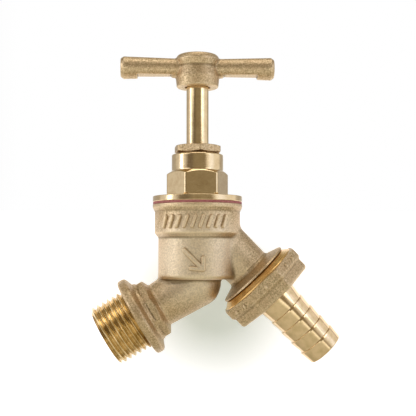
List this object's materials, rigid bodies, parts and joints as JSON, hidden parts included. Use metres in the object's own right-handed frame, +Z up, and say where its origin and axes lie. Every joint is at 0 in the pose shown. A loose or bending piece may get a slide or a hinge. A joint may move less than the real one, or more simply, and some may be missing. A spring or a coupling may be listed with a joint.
{
  "type": "bib tap",
  "caption": "Brass bib tap with a crutch handle, a rising spindle valve, a male threaded inlet and a hose tail on a union nut.",
  "frame": {"origin": "centre of the inlet collar's wall face, on the inlet thread's axis", "axes": "+Z up along the spindle, +X from the inlet towards the outlet, the inlet and the outlet both lie in the XZ plane"},
  "size_m": [0.0815, 0.0308, 0.1024],
  "materials": {
    "cast_brass": "blasted casting",
    "turned_brass": "turned, bright",
    "red_fibre": "matte fibre",
    "black_rubber": "matte",
    "packing": "greased cord",
    "steel": "plated"
  },
  "bodies": {
    "tap": {"tap_body": "cast_brass", "headworks_washer": "red_fibre", "bonnet": "turned_brass", "packing_ring_1": "packing", "packing_ring_2": "packing", "packing_ring_3": "packing", "gland_washer": "turned_brass", "gland_nut": "cast_brass"},
    "valve": {"jumper_valve": "turned_brass", "valve_washer": "black_rubber", "jumper_nut": "turned_brass"},
    "spindle": {"spindle": "turned_brass", "crutch_handle": "cast_brass", "handle_grub_screw": "steel"},
    "tail": {"hose_tail": "turned_brass", "union_washer": "black_rubber"},
    "nut": {"union_nut": "cast_brass"}
  },
  "joints": [
    {"name": "valve_lift", "type": "slide", "parent": "tap", "child": "valve", "axis": [0, 0, 1], "range_m": [0, 0.0064]},
    {"name": "spindle_turn", "type": "hinge", "parent": "valve", "child": "spindle", "pos_m": [0.01977, 0, 0.03165], "axis": [0, 0, 1], "range_deg": [0, 900]},
    {"name": "union_travel", "type": "slide", "parent": "tap", "child": "tail", "axis": [0.6959, 0, -0.7181], "range_m": [0, 0.0043]},
    {"name": "union_nut_turn", "type": "hinge", "parent": "tail", "child": "nut", "pos_m": [0.04204, 0, 0.01033], "axis": [0.6959, 0, -0.7181], "range_deg": [0, 846]}
  ],
  "couplings": [
    {"joint": "valve_lift", "follows": "spindle_turn", "m_per_rad": 0.00040425},
    {"joint": "union_travel", "follows": "union_nut_turn", "m_per_rad": 0.00028871}
  ]
}
